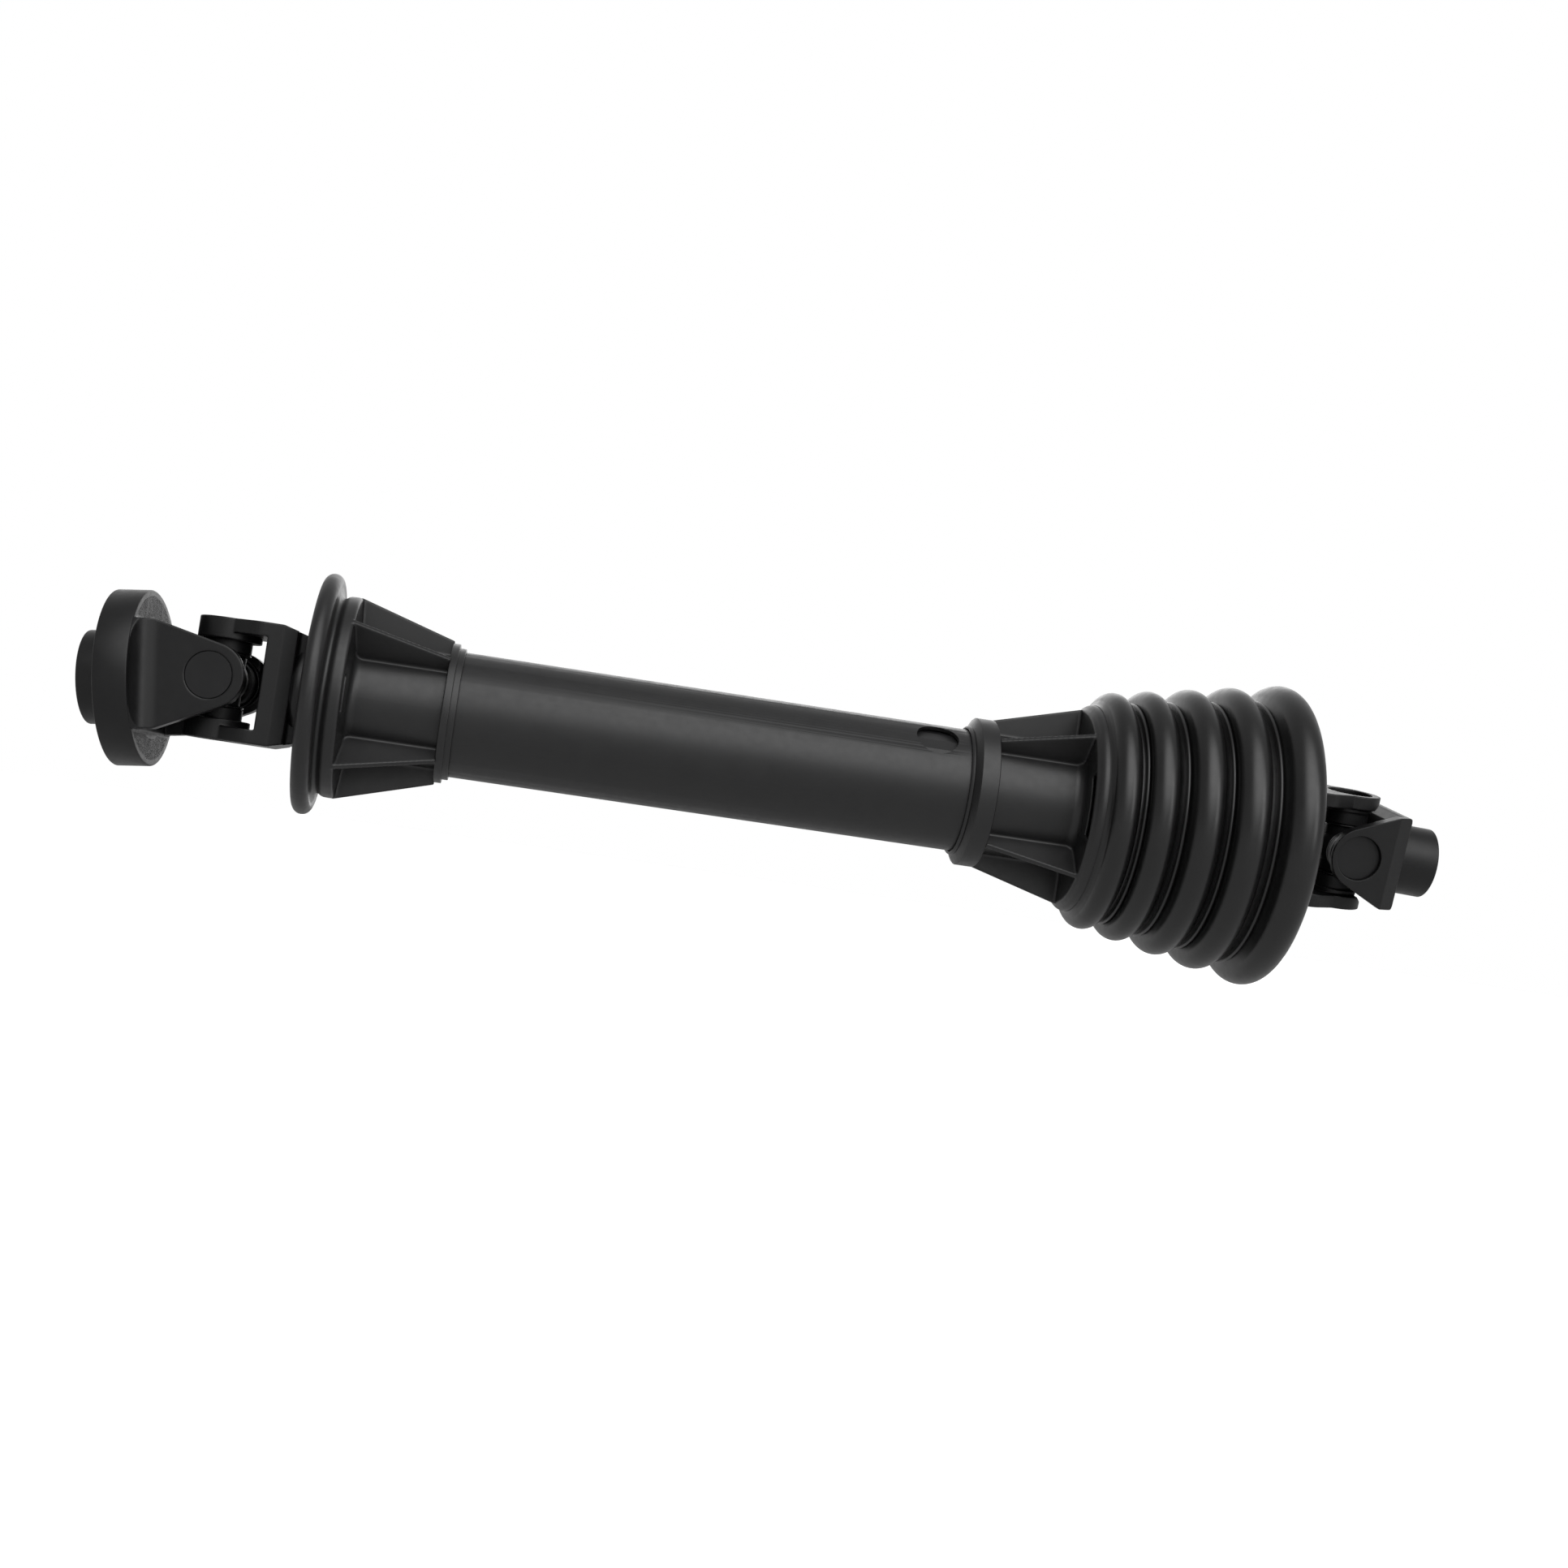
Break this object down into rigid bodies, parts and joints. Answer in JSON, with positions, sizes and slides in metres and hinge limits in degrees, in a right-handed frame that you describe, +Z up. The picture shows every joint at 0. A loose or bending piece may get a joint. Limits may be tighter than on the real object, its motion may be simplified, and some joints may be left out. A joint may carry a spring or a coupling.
{
  "type": "universal joint shaft",
  "caption": "Guarded telescoping drive shaft with a universal joint at each end, a roller overrunning clutch yoke, finned guard cones, guard tubes and a ribbed bellows",
  "frame": {"origin": "centre of the box that holds the whole shaft at rest, on the axis of the drive tubes", "axes": "+X runs along the drive tubes from the clutch yoke to the splined end yoke, +Z is up along the upright pin of the left cross, +Y points to the far side"},
  "size_m": [0.9296, 0.2094, 0.2094],
  "materials": {
    "black_paint": "satin black paint on forged and turned steel",
    "black_plastic": "satin black moulded polyethylene",
    "black_rubber": "soft black, slightly glossy on the ribs",
    "machined_steel": "ground or turned, lightly oiled",
    "spring_steel": "dark phosphated",
    "nylon": "natural nylon"
  },
  "bodies": {
    "left_shaft": {"left_inner_yoke": "black_paint", "outer_drive_tube": "machined_steel", "left_roll_pin": "spring_steel", "left_cup_1": "machined_steel", "left_cup_2": "machined_steel", "left_circlip_1": "spring_steel", "left_circlip_2": "spring_steel", "left_seal_1": "black_rubber", "left_seal_2": "black_rubber"},
    "guard_left": {"left_guard_cone": "black_plastic", "outer_guard_tube": "black_plastic", "left_guard_bearing": "nylon"},
    "right_shaft": {"right_inner_yoke": "black_paint", "inner_drive_tube": "machined_steel", "right_roll_pin": "spring_steel", "right_cup_1": "machined_steel", "right_cup_2": "machined_steel", "right_circlip_1": "spring_steel", "right_circlip_2": "spring_steel", "right_seal_1": "black_rubber", "right_seal_2": "black_rubber"},
    "guard_right": {"right_guard_cone": "black_plastic", "inner_guard_tube": "black_plastic", "bellows": "black_rubber", "right_guard_bearing": "nylon"},
    "left_cross": {"left_cross": "machined_steel"},
    "clutch_yoke": {"clutch_housing": "black_paint", "clutch_cover": "machined_steel", "clutch_snap_ring": "spring_steel", "left_cup_3": "machined_steel", "left_cup_4": "machined_steel", "left_circlip_3": "spring_steel", "left_circlip_4": "spring_steel", "left_seal_3": "black_rubber", "left_seal_4": "black_rubber", "roller_spring_1": "spring_steel", "roller_spring_2": "spring_steel", "roller_spring_3": "spring_steel", "roller_spring_4": "spring_steel", "roller_spring_5": "spring_steel", "roller_spring_6": "spring_steel"},
    "clutch_hub": {"clutch_hub": "black_paint"},
    "right_cross": {"right_cross": "machined_steel"},
    "end_yoke": {"end_yoke": "black_paint", "right_cup_3": "machined_steel", "right_cup_4": "machined_steel", "right_circlip_3": "spring_steel", "right_circlip_4": "spring_steel", "right_seal_3": "black_rubber", "right_seal_4": "black_rubber"},
    "lock_pin": {"lock_pin": "machined_steel"},
    "roller_1": {"roller_1": "machined_steel"},
    "roller_2": {"roller_2": "machined_steel"},
    "roller_3": {"roller_3": "machined_steel"},
    "roller_4": {"roller_4": "machined_steel"},
    "roller_5": {"roller_5": "machined_steel"},
    "roller_6": {"roller_6": "machined_steel"}
  },
  "joints": [
    {"name": "telescope", "type": "slide", "parent": "left_shaft", "child": "right_shaft", "axis": [1, 0, 0], "range_m": [0, 0.22]},
    {"name": "left_guard_turn", "type": "hinge", "parent": "left_shaft", "child": "guard_left", "pos_m": [-0.37246, 0, 0], "axis": [1, 0, 0], "continuous": true},
    {"name": "right_guard_turn", "type": "hinge", "parent": "right_shaft", "child": "guard_right", "pos_m": [0.40054, 0, 0], "axis": [1, 0, 0], "continuous": true},
    {"name": "left_swing", "type": "hinge", "parent": "left_shaft", "child": "left_cross", "pos_m": [-0.37246, 0, 0], "axis": [0, 0, 1], "range_deg": [-1, 15]},
    {"name": "clutch_tilt", "type": "hinge", "parent": "left_cross", "child": "clutch_yoke", "pos_m": [-0.37246, 0, 0], "axis": [0.1253, 0.9921, 0], "range_deg": [-23, 37]},
    {"name": "clutch_overrun", "type": "hinge", "parent": "clutch_yoke", "child": "clutch_hub", "pos_m": [-0.42982, 0.00725, -0.0071], "axis": [0.9847, -0.1244, 0.1219], "continuous": true},
    {"name": "right_swing", "type": "hinge", "parent": "right_shaft", "child": "right_cross", "pos_m": [0.40054, 0, 0], "axis": [0, -0.1822, 0.9833], "range_deg": [-12, 12]},
    {"name": "end_tilt", "type": "hinge", "parent": "right_cross", "child": "end_yoke", "pos_m": [0.40054, 0, 0], "axis": [0, 0.9833, 0.1822], "range_deg": [-11, 7]},
    {"name": "lock_pull", "type": "slide", "parent": "end_yoke", "child": "lock_pin", "axis": [0, 0.9833, 0.1822], "range_m": [0, 0.004]},
    {"name": "roller_1_spin", "type": "hinge", "parent": "clutch_yoke", "child": "roller_1", "pos_m": [-0.43469, 0.00786, 0.0329], "axis": [0.9847, -0.1244, 0.1219], "continuous": true},
    {"name": "roller_2_spin", "type": "hinge", "parent": "clutch_yoke", "child": "roller_2", "pos_m": [-0.43663, -0.02707, 0.0129], "axis": [0.9847, -0.1244, 0.1219], "continuous": true},
    {"name": "roller_3_spin", "type": "hinge", "parent": "clutch_yoke", "child": "roller_3", "pos_m": [-0.43176, -0.02769, -0.0271], "axis": [0.9847, -0.1244, 0.1219], "continuous": true},
    {"name": "roller_4_spin", "type": "hinge", "parent": "clutch_yoke", "child": "roller_4", "pos_m": [-0.42495, 0.00663, -0.0471], "axis": [0.9847, -0.1244, 0.1219], "continuous": true},
    {"name": "roller_5_spin", "type": "hinge", "parent": "clutch_yoke", "child": "roller_5", "pos_m": [-0.42301, 0.04156, -0.0271], "axis": [0.9847, -0.1244, 0.1219], "continuous": true},
    {"name": "roller_6_spin", "type": "hinge", "parent": "clutch_yoke", "child": "roller_6", "pos_m": [-0.42789, 0.04218, 0.0129], "axis": [0.9847, -0.1244, 0.1219], "continuous": true}
  ],
  "couplings": [
    {"joint": "roller_1_spin", "follows": "clutch_overrun", "ratio": -9},
    {"joint": "roller_2_spin", "follows": "clutch_overrun", "ratio": -9},
    {"joint": "roller_3_spin", "follows": "clutch_overrun", "ratio": -9},
    {"joint": "roller_4_spin", "follows": "clutch_overrun", "ratio": -9},
    {"joint": "roller_5_spin", "follows": "clutch_overrun", "ratio": -9},
    {"joint": "roller_6_spin", "follows": "clutch_overrun", "ratio": -9}
  ]
}
